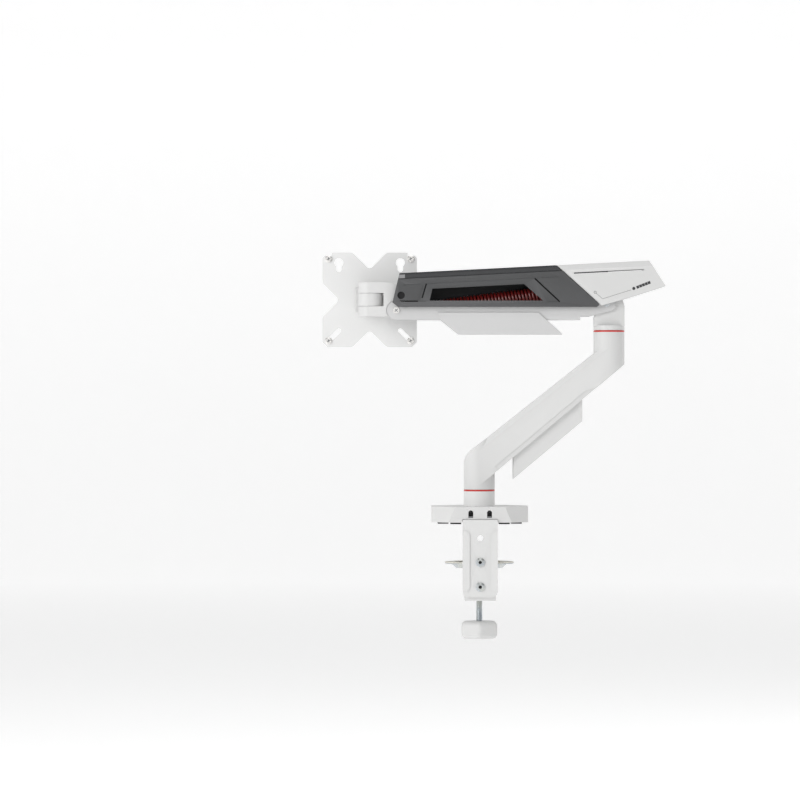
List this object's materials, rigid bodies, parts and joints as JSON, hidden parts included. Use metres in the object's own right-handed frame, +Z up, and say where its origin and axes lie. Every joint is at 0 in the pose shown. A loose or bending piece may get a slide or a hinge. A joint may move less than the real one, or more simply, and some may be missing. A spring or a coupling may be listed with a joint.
{
  "type": "monitor arm",
  "caption": "Desk-clamped monitor arm: swivelling lower arm, sprung parallelogram upper arm and a head that pans, tilts and rotates, with a screen plate.",
  "frame": {"origin": "on the desk top, under the pads, on the axis of the base post", "axes": "+Z up; +X from the base post towards the elbow as shown; +Y from the clamp's back plate over the desk, and out of the screen plate"},
  "size_m": [0.4148, 0.1265, 0.4681],
  "materials": {
    "white_metal": "satin powder coat",
    "white_plastic": "fine matt texture",
    "link_metal": "satin powder coat",
    "grey_plastic": "fine matt texture",
    "black_plastic": "satin",
    "red_plastic": "satin",
    "red_spring": "gloss coating",
    "zinc": "zinc plated",
    "steel": "dark zinc plated",
    "black_metal": "black coating",
    "nickel": "nickel plated",
    "polymer": "satin",
    "rubber": "matt"
  },
  "bodies": {
    "clamp": {"base_housing": "white_metal", "base_plate": "steel", "base_pads": "rubber", "base_post": "white_metal", "base_spindle": "zinc", "post_bolts": "zinc", "housing_screws": "zinc", "base_ring": "red_plastic", "clamp_back_plate": "white_metal", "tongue_bolts": "zinc", "tongue_nuts": "black_metal", "clamp_jaw": "white_metal", "jaw_bolts": "nickel", "jaw_nuts": "zinc"},
    "pressure": {"pressure_plate": "zinc", "pressure_pad": "polymer"},
    "screw": {"clamp_screw": "zinc", "clamp_knob": "white_plastic", "screw_clip": "steel"},
    "lower_arm": {"lower_arm_casting": "white_metal", "base_bush": "polymer", "lower_cable_cover": "white_plastic", "elbow_bush": "polymer", "elbow_ring": "red_plastic"},
    "elbow": {"elbow_knuckle": "white_metal", "elbow_spindle": "zinc"},
    "upper_arm": {"upper_arm_frame": "black_metal", "side_cover_back": "grey_plastic", "side_cover_front": "grey_plastic", "top_strip": "black_plastic", "tail_cover_back": "white_plastic", "tail_cover_front": "white_plastic", "head_pivot_pin": "black_metal", "elbow_pivot_pin": "zinc", "lift_spring": "red_spring", "tension_block": "steel", "tension_screw": "zinc"},
    "link": {"lower_link": "link_metal", "link_cable_cover": "link_metal", "link_head_bolt": "nickel", "link_elbow_pin": "zinc", "spring_pin": "zinc", "spring_eye": "zinc"},
    "head": {"head_bracket": "white_metal", "pan_pin": "zinc"},
    "pan": {"pan_knuckle": "white_metal"},
    "tilt": {"tilt_bracket": "white_metal", "tilt_bolt": "zinc", "tilt_nut": "zinc", "rotation_disc": "polymer"},
    "vesa": {"vesa_plate": "white_metal", "vesa_hub": "zinc", "hub_nut": "zinc", "vesa_screws": "nickel"}
  },
  "joints": [
    {"name": "clamp_plate_lift", "type": "slide", "parent": "clamp", "child": "pressure", "axis": [0, 0, 1], "range_m": [-0.01875, 0.02]},
    {"name": "clamp_screw_turn", "type": "hinge", "parent": "pressure", "child": "screw", "pos_m": [0, 0, -0.1], "axis": [0, 0, 1], "range_deg": [-5440, 5800]},
    {"name": "base_swivel", "type": "hinge", "parent": "clamp", "child": "lower_arm", "pos_m": [0, 0, 0.055], "axis": [0, 0, 1], "range_deg": [0, 180]},
    {"name": "elbow_swivel", "type": "hinge", "parent": "lower_arm", "child": "elbow", "pos_m": [0.1567, 0, 0.215], "axis": [0, 0, 1], "range_deg": [-180, 180]},
    {"name": "arm_lift", "type": "hinge", "parent": "elbow", "child": "upper_arm", "pos_m": [0.1589, 0, 0.283], "axis": [0, 1, 0], "range_deg": [-30, 40], "deforming": ["lift_spring"]},
    {"name": "link_lift", "type": "hinge", "parent": "elbow", "child": "link", "pos_m": [0.1531, 0, 0.2651], "axis": [0, 1, 0], "range_deg": [-30.5, 40.5]},
    {"name": "head_level", "type": "hinge", "parent": "upper_arm", "child": "head", "pos_m": [-0.0945, 0, 0.2746], "axis": [0, 1, 0], "range_deg": [-40.5, 30.5]},
    {"name": "head_pan", "type": "hinge", "parent": "head", "child": "pan", "pos_m": [-0.1329, 0, 0.2696], "axis": [0, 0, 1], "range_deg": [0, 180]},
    {"name": "head_tilt", "type": "hinge", "parent": "pan", "child": "tilt", "pos_m": [-0.1329, 0.031, 0.2708], "axis": [1, 0, 0], "range_deg": [-35, 45]},
    {"name": "screen_rotate", "type": "hinge", "parent": "tilt", "child": "vesa", "pos_m": [-0.1329, 0.05, 0.2708], "axis": [0, 1, 0], "range_deg": [-90, 90]}
  ],
  "couplings": [
    {"joint": "clamp_screw_turn", "follows": "clamp_plate_lift", "rad_per_m": 5026.5},
    {"joint": "link_lift", "follows": "arm_lift", "ratio": 1},
    {"joint": "head_level", "follows": "arm_lift", "ratio": -1}
  ]
}
